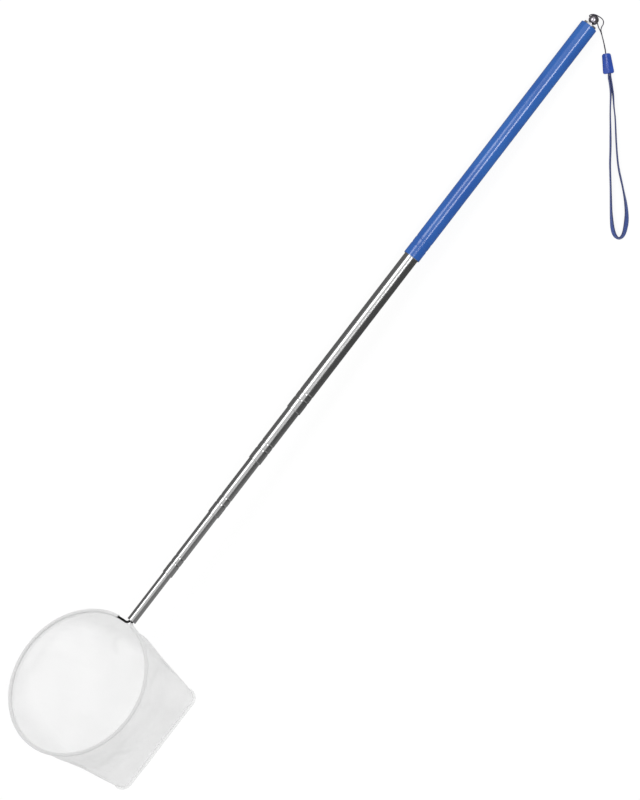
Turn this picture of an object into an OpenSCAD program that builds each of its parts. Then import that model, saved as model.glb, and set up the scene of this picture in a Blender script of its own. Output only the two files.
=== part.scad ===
/* [Pole] */
// Outside diameter of the thinnest tube, the one that holds the hoop
tip_tube_d = 7.7; // [7:0.1:9]
// Wall of every steel tube
wall_t = 0.3; // [0.25:0.05:0.4]
// Radial room between the bore of one tube and the next tube in it
nest_room = 0.3; // [0.28:0.02:0.4]
// Length of the handle tube, the outermost one
handle_l = 234.4; // [210:1:260]
// How far tube 2 stands out of the handle tube
reach_2 = 155; // [60:1:185]
// How far tube 3 stands out of tube 2
reach_3 = 50.7; // [45:1:60]
// How far tube 4 stands out of tube 3
reach_4 = 54.2; // [45:1:60]
// How far tube 5 stands out of tube 4
reach_5 = 60.2; // [45:1:70]
// How far tube 6 stands out of tube 5
reach_6 = 46.6; // [30:1:60]
// How far each mouth stands out of the one before when all is pushed in
nest_step = 4; // [2:0.5:6]

/* [Rolled grooves] */
// Distance from a tube's mouth to its front groove
groove_front = 10.8; // [8:0.1:12]
// Distance from a tube's mouth to its rear groove
groove_rear = 16.9; // [15:0.1:20]
// Depth of a rolled groove
groove_depth = 0.24; // [0.16:0.02:0.24]
// Width of a rolled groove
groove_w = 2.2; // [1.6:0.1:2.6]
// Length of the turned in lip at a tube's mouth
lip_l = 0.8; // [0.6:0.1:1]

/* [Friction rings] */
// Length of the split friction ring at a tube's rear end
ring_l = 12; // [8:1:14]
// Width of the split in a friction ring
ring_split = 1.6; // [1:0.1:2.4]
// Length of the raised bead in front of a friction ring, and of the flare behind it
bead_l = 1; // [0.6:0.1:1.4]
// Height of the bead and the flare over the tube
bead_h = 0.2; // [0.14:0.02:0.22]
// Radial running clearance of a friction ring in the tube around it
slide_fit = 0.05; // [0.03:0.01:0.06]
// Radial running clearance of a tube in its own friction ring
turn_fit = 0.03; // [0.02:0.01:0.04]
// End play of a friction ring between bead and flare
ring_play = 0.2; // [0.1:0.05:0.4]

/* [Grip] */
// Thickness of the shrunk plastic sleeve
sleeve_t = 0.38; // [0.3:0.02:0.6]
// Steel left bare in front of the sleeve
sleeve_set = 0.5; // [0.2:0.1:1]
// Radius of the sleeve's rear corner
sleeve_corner_r = 1; // [0.8:0.1:1.4]
// Diameter of the sleeve's rear opening
sleeve_open_d = 11.4; // [11.2:0.1:12]

/* [Rear end] */
// Length of the plug in the handle tube
plug_l = 12; // [10:1:16]
// Diameter of the plug's collar
collar_d = 10.8; // [10:0.1:11]
// Thickness of the plug's collar
collar_t = 1.9; // [1.4:0.1:2.4]
// Diameter of the ball at the end
ball_d = 8.3; // [7.5:0.1:9]
// Gap between the ball and the collar, beside the neck
ball_gap = 0.15; // [0.1:0.05:0.6]
// Diameter of the ball's neck
neck_d = 4.4; // [4:0.1:5]
// Diameter of the ball's stud
stud_d = 3; // [2.5:0.1:3.5]
// Length of the ball's stud below the collar's face
stud_l = 9; // [7:0.5:11]
// Diameter of the eye drilled across the ball
eye_d = 2.4; // [2:0.1:2.8]
// Clearance between pieces that are pressed or screwed together
seat_fit = 0.02; // [0.01:0.01:0.03]

/* [Hoop] */
// Radius of the hoop, to the middle of its wire
hoop_r = 61.5; // [55:0.5:68]
// Diameter of the hoop's wire
wire_d = 2; // [1.8:0.1:2.2]
// Tilt of the hoop about the pole, its bag side up
hoop_tilt = 37; // [30:1:42]
// Distance from the pole's line to the middle of the hoop, in the hoop's plane
hoop_offset = 4.9; // [3:0.1:6]
// Radius of the bends that lead the wire into the tube
neck_bend_r = 3.5; // [3:0.1:4.5]
// Gap between the two wire ends in the tube
tang_gap = 0.4; // [0.3:0.1:0.8]
// How far the tube's mouth covers the end of the bends
mouth_cover = 0.4; // [0.2:0.1:0.8]
// How far the plug around the wire ends sits behind the mouth
wire_plug_set = 1.4; // [1:0.1:3]
// Length of the plug around the wire ends
wire_plug_l = 16; // [12:1:20]

/* [Net] */
// Diameter of the hem around the wire
hem_d = 3.8; // [3.2:0.1:4.4]
// Radial clearance between the hem and the wire
hem_fit = 0.05; // [0.02:0.01:0.1]
// Where the hem begins, as an angle from the pole
hem_start = 7.5; // [6:0.5:12]
// Where the hem ends, as an angle from the pole
hem_end = 350.5; // [346:0.5:351]
// Gap between the hem and the edge of the bag
hem_gap = 0.3; // [0.2:0.05:0.5]
// Thickness of the bag's wall
cloth_t = 0.8; // [0.6:0.1:1.2]
// Distance from the pole's line to the bag's bottom edge on the floor
bag_reach = 80.2; // [74:0.5:90]
// Width of the bag at its bottom edge
bag_w = 100.6; // [90:0.5:108]
// How far the bag's bottom edge lies towards the grip
bag_lean = -0.5; // [-3:0.5:3]
// Radius of the bag's bottom corners
bag_corner_r = 10; // [8:0.5:14]
// Thickness of the flattened bag at its bottom edge
bag_flat_t = 2.4; // [2.2:0.1:3]
// Width of the seam along the bottom edge
seam_w = 3.2; // [2.4:0.1:4]
// Thickness of the seam
seam_t = 1.4; // [1:0.1:2]

/* [Wrist strap] */
// Diameter of the strap's thin cord
cord_d = 0.8; // [0.6:0.05:1]
// Width of the strap's webbing
webbing_w = 4.5; // [4:0.1:5]
// Thickness of the strap's webbing
webbing_t = 0.9; // [0.7:0.1:1]
// Length of the connector between cord and webbing
conn_l = 15.8; // [14:0.2:20]
// Width of the connector at the cord's end
conn_w1 = 6.7; // [6:0.1:8]
// Width of the connector at the webbing's end
conn_w2 = 8.4; // [7:0.1:10]
// Thickness of the connector
conn_t = 5.8; // [5.4:0.1:7]
// Wall left around the slots in the connector
conn_wall = 0.5; // [0.4:0.1:0.6]

/* [Hidden] */

$fn = 72;
// The hoop's wire is a tube of flat faces: this many around it, along a bend and along the hoop
wire_sides = 12;
bend_steps = 8;
hoop_steps = 116;
hoop_step = 3;
// Cuts run this far past the faces that they open
overrun = 1;
full_turn = 360;

// The pole's own line is the local x axis, from the middle of the hoop towards the grip.
reaches = [0, 0, reach_2, reach_3, reach_4, reach_5, reach_6];
sections = len(reaches) - 1;
grooves = [groove_front, groove_rear];
function tube_r(k) = tip_tube_d / 2 + (sections - k) * (wall_t + nest_room);
function bore_r(k) = tube_r(k) - wall_t;

// A groove is the arc of this radius, and the lip of a mouth is the arc of the other
groove_r = (pow(groove_w / 2, 2) + pow(groove_depth, 2)) / (2 * groove_depth);
lip_r = (pow(lip_l, 2) + pow(groove_depth, 2)) / (2 * groove_depth);

// Wire ends: each leaves the hoop by a bend and runs into the tube beside the pole's line
wire_r = wire_d / 2;
tang_y = (wire_d + tang_gap) / 2;
bend_reach = hoop_r + neck_bend_r;
bend_rise_a = tang_y + neck_bend_r - hoop_offset;
bend_rise_b = -tang_y - neck_bend_r - hoop_offset;
bend_x_a = sqrt(pow(bend_reach, 2) - pow(bend_rise_a, 2));
bend_x_b = sqrt(pow(bend_reach, 2) - pow(bend_rise_b, 2));
bend_angle_a = asin(bend_rise_a / bend_reach);
bend_angle_b = asin(bend_rise_b / bend_reach);

// Places along the pole's line
function mouth_x(k) = k == sections ? bend_x_a - mouth_cover : mouth_x(k + 1) + reaches[k + 1];
handle_x = mouth_x(1);
// A tube pushed right in stops this far before the plug
plug_gap = 0.5;
function tube_l(k) = k == 1 ? handle_l : handle_l - plug_l - plug_gap + (k - 1) * nest_step;
tube_end_x = handle_x + handle_l;
collar_end_x = tube_end_x + collar_t;
ball_x = collar_end_x + ball_gap + ball_d / 2;
grip_r = tube_r(1) + seat_fit + sleeve_t;
sleeve_end_x = tube_end_x + seat_fit + sleeve_t;
wire_plug_x = mouth_x(sections) + wire_plug_set;

// The net lies on a floor at z = 0: its hoop's low side, its bag's edge and its grip's end rest there
hem_r = hem_d / 2;
tilt_sin = sin(hoop_tilt);
tilt_cos = cos(hoop_tilt);
rest_x = sleeve_end_x - sleeve_corner_r;
function axis_height(p) =
  hoop_offset * tilt_sin * cos(p) + hoop_r * norm([tilt_sin * cos(p), sin(p)]) + hem_r;
function settle(n) = n == 0 ? 0 : let (p = settle(n - 1)) asin((axis_height(p) - grip_r * cos(p)) / rest_x);
pitch = settle(6);
axis_h = axis_height(pitch);

// The origin is below the middle of the net without its strap
net_x_min = -hoop_offset * tilt_sin * sin(pitch)
  - hoop_r * norm([cos(pitch), tilt_sin * sin(pitch)]) - hem_r;
net_x_max = ball_x * cos(pitch) + ball_d / 2;
net_y_min = -bag_reach;
net_y_max = (hoop_offset + hoop_r) * tilt_cos + hem_r;
mid_x = (net_x_min + net_x_max) / 2;
mid_y = (net_y_min + net_y_max) / 2;
function to_floor_frame(p) = [
  p.x * cos(pitch) + p.z * sin(pitch) - mid_x,
  p.y - mid_y,
  axis_h - p.x * sin(pitch) + p.z * cos(pitch)
];
ball_place = to_floor_frame([ball_x, 0, 0]);

// Bag: rings of points from the hem to the bottom edge, outside and inside
bag_sides = 48;
bag_rings = 10;
// Shares that shape how the cloth hangs from the hem and then lies outwards
drape_out_share = 1.5;
drape_fall_share = 1.7;
// How high the bag's underside lies over the floor
bag_clear = 0.15;
bag_half_w = bag_w / 2 - seam_w;
bag_edge_y = bag_reach - seam_w - hem_gap;
bag_inner_corner_r = bag_corner_r - seam_w;
// The pocket ends this far before the bag's bottom edge
pocket_end = 1.2;

function clamp01(x) = max(0, min(1, x));
function mix(a, b, s) = a + (b - a) * s;
function unit(v) = v / norm(v);
// A point on the hoop's wire, with t from the pole's line, low side first
function hoop_point(t) = let (y = hoop_offset + hoop_r * sin(t))
  to_floor_frame([hoop_r * cos(t), y * tilt_cos, -y * tilt_sin]);
hoop_middle = to_floor_frame([0, hoop_offset * tilt_cos, -hoop_offset * tilt_sin]);
function inward(t) = let (d = hoop_middle - hoop_point(t)) unit([d.x, d.y, 0]);
// 1 where the cloth leaves the hem inwards along the floor, 0 where it hangs down
function floor_share(t) = pow(max(0, sin(t)), 2);
function leave_dir(t) = unit(mix([0, 0, -1], inward(t), floor_share(t)));
function wall_dir(t) = unit(mix(inward(t), [0, 0, 1], floor_share(t)));
// The gap to the hem is measured square to the wire, which slopes where it leaves the floor
function wire_way(t) = unit(hoop_point(t + full_turn / 4) - hoop_middle);
function leave_step(t) = let (d = leave_dir(t)) d / norm(cross(d, wire_way(t)));
function bag_mouth(t, depth) =
  hoop_point(t) + leave_step(t) * (hem_r + hem_gap) + wall_dir(t) * depth;
function corner_cut(x) = let (past = x - (bag_half_w - bag_inner_corner_r))
  past > 0 ? bag_inner_corner_r - sqrt(max(0, pow(bag_inner_corner_r, 2) - pow(past, 2))) : 0;
function bag_bottom(t, depth) = let (
    x = (bag_half_w - depth) * cos(t),
    back = depth > 0 ? pocket_end : 0,
    y = -bag_edge_y + back + corner_cut(abs(x)),
    z = bag_clear + bag_flat_t / 2 - (bag_flat_t / 2 - depth) * sin(t)
  ) [x + bag_lean - mid_x, y - mid_y, z];
function bag_point(t, v, depth) = let (
    top = bag_mouth(t, depth),
    low = bag_bottom(t, depth),
    out = pow(v, drape_out_share),
    up = pow(1 - v, drape_fall_share)
  ) [mix(top.x, low.x, out), mix(top.y, low.y, out), mix(low.z, top.z, up)];

// Wrist strap, as it lies on the floor. Its points are measured from below the ball's middle.
cord_route = [
  [-18.6, -27.0, 2.9], [-15.4, -24.0, 2.9], [-12.5, -21.2, 1.5], [-9.6, -18.2, 0.6],
  [-6.6, -15.0, 0.5], [-4.1, -12.0, 0.7], [-2.2, -9.6, 1.8], [-0.8, -7.4, 4.0],
  [-0.1, -5.4, 6.2], [0.0, -3.4, 6.9], [0.0, 0.0, 6.9], [0.0, 3.4, 6.9],
  [0.5, 5.1, 7.1], [1.9, 4.9, 8.0], [3.1, 3.6, 8.9], [3.9, 1.6, 9.3],
  [4.3, -0.7, 9.0], [4.7, -2.8, 7.8], [5.2, -4.7, 6.0], [5.1, -6.6, 4.0],
  [4.0, -8.3, 2.2], [2.0, -9.6, 1.1], [-0.5, -10.6, 1.1], [-2.7, -12.3, 0.8],
  [-5.4, -15.2, 0.5], [-8.7, -19.0, 0.6], [-11.9, -21.9, 1.5], [-14.8, -24.6, 2.9],
  [-18.0, -27.7, 2.9]
];
webbing_route = [
  [-22.6, -30.7], [-25.2, -33.2], [-28.4, -36.2], [-34.1, -41.6], [-40.6, -47.7],
  [-48.9, -54.1], [-57.4, -60.8], [-67.3, -68.8], [-78.0, -76.4], [-90.0, -85.4],
  [-102.3, -95.3], [-114.6, -105.4], [-122.6, -112.6], [-126.6, -118.0], [-127.3, -121.6],
  [-125.2, -123.9], [-121.9, -124.1], [-117.4, -122.6], [-109.8, -117.7], [-102.2, -111.2],
  [-93.4, -101.9], [-84.8, -91.9], [-76.0, -82.3], [-63.0, -71.0], [-50.2, -59.7],
  [-37.6, -48.1], [-31.4, -42.0], [-27.6, -37.6], [-24.4, -34.0], [-21.8, -31.5]
];
conn_place = [-15.1, -24.3];
conn_turn = 223.7;
// Heights in the connector: the cord's slot and the webbing's slot share its middle height
conn_mid_z = conn_t / 2;
webbing_z = conn_mid_z - webbing_w / 2;
// The connector's pocket holds the crimp, with the cord's slot before it and the webbing's behind
crimp_x = 4.5;
crimp_l = 5;
crimp_w = 2.6;
crimp_h = 3.4;
slot_room = 0.2;
// Gap between the two strands that lie side by side in a slot
strand_gap = 0.3;
pair_w = 2 * cord_d + 2 * slot_room + strand_gap;
webbing_pair_w = 2 * webbing_t + 2 * slot_room + strand_gap;
cord_sides = 8;
route_steps = 2;

// Points of a smooth line through a route, step by step
function spline_point(a, b, c, d, s) =
  0.5 * (2 * b + (c - a) * s + (2 * a - 5 * b + 4 * c - d) * s * s + (3 * b - a - 3 * c + d) * s * s * s);
function at(route, i) = route[max(0, min(len(route) - 1, i))];
function smooth(route, steps) = [
  for (i = [0 : len(route) - 2], j = [0 : steps - 1])
    spline_point(at(route, i - 1), at(route, i), at(route, i + 1), at(route, i + 2), j / steps),
  at(route, len(route) - 1)
];
function along(line, i) = unit(at(line, i + 1) - at(line, i - 1));

module in_floor_frame() {
  translate([-mid_x, -mid_y, axis_h]) rotate([0, pitch, 0]) children();
}

module in_hoop_plane() {
  in_floor_frame() rotate([-hoop_tilt, 0, 0]) children();
}

// Turns a profile drawn as radius and distance into a round piece on the pole's line
module turned(x) {
  in_floor_frame() translate([x, 0, 0]) rotate([0, 90, 0]) rotate_extrude() children();
}

module groove_arc(r, place, arc_r) {
  translate([r - groove_depth + groove_r, place]) circle(arc_r);
}

module groove_zone(r, place, t) {
  intersection() {
    groove_arc(r, place, groove_r + t);
    translate([r - t - groove_depth, place - groove_w]) square([t + groove_depth, 2 * groove_w]);
  }
}

module lip_band(r) {
  intersection() {
    difference() {
      translate([r - lip_r, lip_l]) circle(lip_r);
      translate([r - lip_r, lip_l]) circle(lip_r - wall_t);
    }
    translate([r - wall_t - groove_depth, 0]) square([wall_t + groove_depth, lip_l]);
  }
}

// Half section of a tube's wall: lip, two grooves, and bead and flare where it slides in another
module tube_wall(k) {
  r = tube_r(k);
  l = tube_l(k);
  rolled = k < sections;
  start = rolled ? lip_l : 0;
  difference() {
    union() {
      translate([r - wall_t, start]) square([wall_t, l - start]);
      if (rolled) {
        lip_band(r);
        for (g = grooves) groove_zone(r, g, wall_t);
      }
      if (k > 1) {
        translate([r - wall_t, l - bead_l]) square([wall_t + bead_h, bead_l]);
        translate([r - wall_t, l - 2 * bead_l - ring_l - 2 * ring_play]) square([wall_t + bead_h, bead_l]);
      }
    }
    if (rolled) for (g = grooves) groove_arc(r, g, groove_r);
  }
}

module tube(k) {
  color("silver") turned(mouth_x(k)) tube_wall(k);
}

module friction_ring(k) {
  inner = tube_r(k) + turn_fit;
  outer = bore_r(k - 1) - slide_fit;
  start = mouth_x(k) + tube_l(k) - bead_l - ring_play - ring_l;
  color("goldenrod") difference() {
    turned(start) translate([inner, 0]) square([outer - inner, ring_l]);
    in_floor_frame() translate([start - overrun, -ring_split / 2, 0])
      cube([ring_l + 2 * overrun, ring_split, outer + overrun]);
  }
}

module grip_sleeve() {
  r = tube_r(1) + seat_fit;
  end = handle_l + seat_fit;
  color("royalblue") turned(handle_x) difference() {
    union() {
      translate([r, sleeve_set]) square([sleeve_t, end - sleeve_set]);
      for (g = grooves) intersection() {
        groove_arc(r, g, groove_r);
        translate([r - groove_depth, g - groove_w]) square([groove_depth, 2 * groove_w]);
      }
      translate([sleeve_open_d / 2, end])
        square([r + sleeve_t - sleeve_corner_r - sleeve_open_d / 2, sleeve_t]);
      intersection() {
        translate([r + sleeve_t - sleeve_corner_r, end + sleeve_t - sleeve_corner_r]) circle(sleeve_corner_r);
        translate([r + sleeve_t - sleeve_corner_r, end]) square([sleeve_corner_r, sleeve_t]);
      }
    }
    for (g = grooves) groove_arc(r, g, groove_r - sleeve_t);
    difference() {
      translate([r + sleeve_t - sleeve_corner_r, end + sleeve_t - sleeve_corner_r])
        square([sleeve_corner_r + overrun, sleeve_corner_r + overrun]);
      translate([r + sleeve_t - sleeve_corner_r, end + sleeve_t - sleeve_corner_r]) circle(sleeve_corner_r);
    }
  }
}

module end_plug() {
  color("gainsboro") turned(0) difference() {
    union() {
      translate([0, tube_end_x - plug_l]) square([bore_r(1) - seat_fit, plug_l]);
      translate([0, tube_end_x]) square([collar_d / 2, collar_t]);
    }
    translate([0, collar_end_x - stud_l - overrun]) square([stud_d / 2 + seat_fit, stud_l + 2 * overrun]);
  }
}

module end_ball() {
  color("dimgray") difference() {
    union() {
      in_floor_frame() translate([ball_x, 0, 0]) rotate([0, 90, 0]) sphere(d = ball_d);
      turned(collar_end_x) square([neck_d / 2, ball_d / 2]);
      turned(collar_end_x - stud_l) square([stud_d / 2, stud_l]);
    }
    in_floor_frame() translate([ball_x, ball_d, 0]) rotate([90, 0, 0]) cylinder(d = eye_d, h = 2 * ball_d);
  }
}

module wire_plug() {
  color("dimgray") difference() {
    turned(wire_plug_x) square([bore_r(sections) - seat_fit, wire_plug_l]);
    in_hoop_plane() for (y = [-tang_y, tang_y])
      translate([wire_plug_x - overrun, y, 0]) rotate([0, 90, 0])
        cylinder(r = wire_r + seat_fit, h = wire_plug_l + 2 * overrun);
  }
}

// Points on an arc in the hoop's plane, from one angle to another
function arc(centre, r, from, to, steps) = [
  for (i = [0 : steps]) let (t = mix(from, to, i / steps)) [centre.x + r * cos(t), centre.y + r * sin(t), 0]
];

// A round tube of n sides along a line of points
module swept(line, r, n) {
  count = len(line);
  rings = [for (i = [0 : count - 1]) let (
      dir = along(line, i),
      side = unit(cross(dir, [0, 0, 1])),
      up = cross(side, dir)
    ) for (j = [0 : n - 1]) line[i] + r * (cos(full_turn * j / n) * side + sin(full_turn * j / n) * up)];
  sides = [for (i = [0 : count - 2], j = [0 : n - 1]) each [
    [i * n + j, i * n + (j + 1) % n, (i + 1) * n + (j + 1) % n],
    [i * n + j, (i + 1) * n + (j + 1) % n, (i + 1) * n + j]
  ]];
  start_cap = [for (j = [1 : n - 2]) [0, j + 1, j]];
  end_cap = [for (j = [1 : n - 2]) [(count - 1) * n, (count - 1) * n + j, (count - 1) * n + j + 1]];
  polyhedron(rings, concat(sides, start_cap, end_cap));
}

module hoop_wire() {
  tang_end_x = wire_plug_x + wire_plug_l;
  bend_a = [bend_x_a, tang_y + neck_bend_r];
  bend_b = [bend_x_b, -tang_y - neck_bend_r];
  line = concat(
    [[tang_end_x, tang_y, 0]],
    arc(bend_a, neck_bend_r, 270, 180 + bend_angle_a, bend_steps),
    arc([0, hoop_offset], hoop_r, hoop_step + bend_angle_a, full_turn - hoop_step + bend_angle_b, hoop_steps),
    arc(bend_b, neck_bend_r, 180 + bend_angle_b, 90, bend_steps),
    [[tang_end_x, -tang_y, 0]]
  );
  color("dimgray") in_hoop_plane() swept(line, wire_r, wire_sides);
}

module net_hem() {
  color("white") in_hoop_plane() translate([0, hoop_offset, 0]) rotate([0, 0, hem_start])
    rotate_extrude(angle = hem_end - hem_start) translate([hoop_r, 0]) difference() {
      circle(hem_r);
      circle(wire_r + hem_fit);
    }
}

// The bag is one closed shell: an outer and an inner wall, joined at the mouth, shut at the bottom
module net_bag() {
  n = bag_sides;
  m = bag_rings;
  outer = [for (j = [0 : m], i = [0 : n - 1]) bag_point(full_turn * i / n, j / m, 0)];
  inner = [for (j = [0 : m], i = [0 : n - 1]) bag_point(full_turn * i / n, j / m, cloth_t)];
  base = len(outer);
  wall_quads = [for (j = [0 : m - 1], i = [0 : n - 1])
    [j * n + i, j * n + (i + 1) % n, (j + 1) * n + (i + 1) % n, (j + 1) * n + i]];
  rim_quads = [for (i = [0 : n - 1]) [i, base + i, base + (i + 1) % n, (i + 1) % n]];
  // Across the flat bottom each point is joined with the one that faces it
  shut_quads = [for (i = [0 : n / 2 - 1])
    [m * n + i, m * n + i + 1, m * n + (n - i - 1) % n, m * n + (n - i) % n]];
  faces = concat(
    [for (q = wall_quads) each split(q)],
    [for (q = wall_quads) each split([for (k = [3 : -1 : 0]) base + q[k]])],
    [for (q = rim_quads) each split(q)],
    [for (q = shut_quads) each split(q)],
    [for (q = shut_quads) each split([for (k = [3 : -1 : 0]) base + q[k]])]
  );
  color("whitesmoke") polyhedron(concat(outer, inner), faces);
}

// A quad as two triangles, or as one where two of its corners are the same
function split(q) = concat(
  q[0] == q[3] || q[2] == q[3] ? [] : [[q[0], q[2], q[3]]],
  q[0] == q[1] || q[1] == q[2] ? [] : [[q[0], q[1], q[2]]]
);

// A plate with its two corners on the bag's bottom side rounded
module rounded_plate(half_w, edge, corner_r, l) {
  translate([-half_w, -edge + corner_r]) square([2 * half_w, l - corner_r]);
  translate([-half_w + corner_r, -edge]) square([2 * (half_w - corner_r), l]);
  for (side = [-1, 1]) translate([side * (half_w - corner_r), -edge + corner_r]) circle(corner_r);
}

module bottom_seam() {
  color("gainsboro") translate([bag_lean - mid_x, -mid_y, 0]) linear_extrude(seam_t) intersection() {
    difference() {
      rounded_plate(bag_w / 2, bag_reach, bag_corner_r, 2 * bag_corner_r);
      rounded_plate(bag_w / 2 - seam_w, bag_reach - seam_w, bag_inner_corner_r, 2 * bag_corner_r);
    }
    translate([-bag_w / 2, -bag_reach]) square([bag_w, bag_corner_r]);
  }
}

module strap_cord() {
  color("midnightblue") translate([ball_place.x, ball_place.y, 0])
    swept(smooth(cord_route, route_steps), cord_d / 2, cord_sides);
}

module in_connector() {
  translate([ball_place.x + conn_place.x, ball_place.y + conn_place.y, conn_mid_z])
    rotate([0, 0, conn_turn]) children();
}

module strap_connector() {
  pocket = [crimp_l + 2 * slot_room, crimp_w + 2 * slot_room, crimp_h + 2 * slot_room];
  color("royalblue") in_connector() difference() {
    translate([0, 0, -conn_t / 2]) linear_extrude(conn_t)
      polygon([[0, -conn_w1 / 2], [conn_l, -conn_w2 / 2], [conn_l, conn_w2 / 2], [0, conn_w1 / 2]]);
    translate([crimp_x - slot_room, -pocket.y / 2, -pocket.z / 2]) cube(pocket);
    translate([-overrun, -pair_w / 2, -cord_d / 2 - slot_room])
      cube([crimp_x + overrun, pair_w, cord_d + 2 * slot_room]);
    translate([crimp_x + crimp_l, -webbing_pair_w / 2, -conn_t / 2 + conn_wall])
      cube([conn_l - crimp_x - crimp_l + overrun, webbing_pair_w, conn_t - 2 * conn_wall]);
  }
}

module strap_crimp() {
  color("silver") in_connector() translate([crimp_x, -crimp_w / 2, -crimp_h / 2])
    cube([crimp_l, crimp_w, crimp_h]);
}

module strap_webbing() {
  line = smooth(webbing_route, route_steps);
  count = len(line);
  edge = [for (side = [1, -1]) [for (i = [0 : count - 1])
    let (dir = along(line, i)) line[i] + side * webbing_t / 2 * [-dir.y, dir.x]]];
  color("royalblue") translate([ball_place.x, ball_place.y, webbing_z]) linear_extrude(webbing_w)
    polygon(concat(edge[0], [for (i = [count - 1 : -1 : 0]) edge[1][i]]));
}

grip_sleeve();
tube(1);  // handle_tube
end_plug();
end_ball();
tube(2);  // tube_2
tube(3);  // tube_3
tube(4);  // tube_4
tube(5);  // tube_5
tube(6);  // tube_6
friction_ring(2);  // friction_ring_2
friction_ring(3);  // friction_ring_3
friction_ring(4);  // friction_ring_4
friction_ring(5);  // friction_ring_5
friction_ring(6);  // friction_ring_6
wire_plug();
hoop_wire();
net_hem();
net_bag();
bottom_seam();
strap_cord();
strap_connector();
strap_crimp();
strap_webbing();
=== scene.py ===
"""Looks of a telescoping aquarium net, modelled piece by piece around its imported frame."""

import math

import bmesh
import bpy
import numpy as np
from bpy.props import FloatProperty, FloatVectorProperty, IntProperty, PointerProperty
from bpy.types import Operator, Panel, PropertyGroup
from mathutils import Matrix, Vector, noise


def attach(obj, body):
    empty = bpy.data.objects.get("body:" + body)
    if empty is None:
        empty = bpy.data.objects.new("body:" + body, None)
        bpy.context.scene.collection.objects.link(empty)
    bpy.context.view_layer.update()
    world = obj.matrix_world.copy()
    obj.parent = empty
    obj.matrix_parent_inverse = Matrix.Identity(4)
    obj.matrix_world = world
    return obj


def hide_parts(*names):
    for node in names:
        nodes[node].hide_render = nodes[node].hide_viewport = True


bl_info = {
    "name": "Aquarium net",
    "version": (1, 0, 0),
    "blender": (4, 5, 0),
    "location": "3D View > Sidebar > Net",
    "description": "Builds the looks of a telescoping aquarium net around its packed frame",
    "category": "Object",
}

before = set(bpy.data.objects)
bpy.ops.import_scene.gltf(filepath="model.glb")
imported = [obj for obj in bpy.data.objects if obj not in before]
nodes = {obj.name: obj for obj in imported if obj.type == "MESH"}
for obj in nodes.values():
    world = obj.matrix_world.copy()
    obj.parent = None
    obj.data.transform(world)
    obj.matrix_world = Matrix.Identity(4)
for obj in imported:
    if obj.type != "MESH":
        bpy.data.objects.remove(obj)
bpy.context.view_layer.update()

MM = 0.001


def srgb(red, green, blue):
    """A colour written as on screen, from 0 to 255, as Blender's own linear values."""
    share = [c / 255 for c in (red, green, blue)]
    return tuple(s / 12.92 if s <= 0.04045 else ((s + 0.055) / 1.055) ** 2.4 for s in share)


def grey(level):
    return srgb(level, level, level)


# Settings


def length(name, description, default):
    return FloatProperty(name=name, description=description, default=default, unit="LENGTH", precision=5)


def angle(name, description, degrees):
    return FloatProperty(name=name, description=description, default=math.radians(degrees), subtype="ANGLE")


def number(name, description, default):
    return FloatProperty(name=name, description=description, default=default)


def spot(name, description, default):
    return FloatVectorProperty(name=name, description=description, default=default, size=2)


def count(name, description, default):
    return IntProperty(name=name, description=description, default=default)


def colour(name, description, default):
    return FloatVectorProperty(name=name, description=description, default=default, subtype="COLOR", min=0, max=1)


class PoleSettings(PropertyGroup):
    pitch: angle("Pitch", "Slope of the pole over the floor", 2.99106)
    height: length("Height", "Height of the pole's line over the floor at the middle of the hoop", 0.0419451)
    place: spot("Place", "Place of the hoop's middle on the floor", (-0.305817, 0.0126353))
    steel: colour("Steel", "Polished steel", grey(184))
    sleeve: colour("Sleeve", "Shrunk plastic sleeve", srgb(44, 92, 163))
    sleeve_dark: colour("Sleeve shade", "Deeper patches of the sleeve", srgb(39, 83, 155))
    collar: colour("Collar", "Bright collar", grey(196))
    ball: colour("Ball", "Chrome of the ball", srgb(190, 186, 194))
    brass: colour("Brass", "Sprung friction rings", srgb(205, 168, 98))


class HoopSettings(PropertyGroup):
    tilt: angle("Tilt", "Tilt of the hoop about the pole", 37)
    radius: length("Radius", "Radius of the hoop to the middle of its wire", 0.0615)
    offset: length("Offset", "Distance from the pole's line to the middle of the hoop", 0.0049)
    wire: length("Wire", "Diameter of the wire", 0.002)
    bend: length("Neck bend", "Radius of the bends that lead the wire into the tube", 0.0035)
    tang_gap: length("Tang gap", "Gap between the two wire ends", 0.0004)
    tang_end: length("Tang end", "How far the wire ends reach from the hoop's middle", 0.082)
    hem: length("Hem", "Diameter of the hem around the wire", 0.003)
    hem_room: length("Hem room", "Diameter that the hem may take up around the wire", 0.0038)
    hem_start: angle("Hem start", "Where the hem begins", 7.5)
    hem_neck: angle("Hem on the neck", "Turn of the neck bend that the hem still covers", 62)
    metal: colour("Wire colour", "Dark spring wire", grey(48))
    tape: colour("Hem colour", "White hem", grey(229))


class BagSettings(PropertyGroup):
    reach: length("Reach", "Distance from the pole's line to the bottom edge", 0.0802)
    width: length("Width", "Width at the bottom edge", 0.1006)
    lean: length("Lean", "How far the bottom edge lies towards the grip", -0.0005)
    corner: length("Corner", "Radius of the bottom corners", 0.010)
    seam: length("Seam", "Width of the bottom seam", 0.0026)
    pitch: length("Mesh pitch", "Distance between two threads of the mesh", 0.0007)
    around: count("Around", "Points around the mouth", 176)
    down: count("Down", "Rows from the mouth to the bottom", 52)
    steps: count("Steps", "Steps of the cloth's fall", 90)
    thread: colour("Thread", "White thread of the mesh", grey(228))
    fold: colour("Seam cloth", "Doubled cloth of the seam", grey(230))


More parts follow.
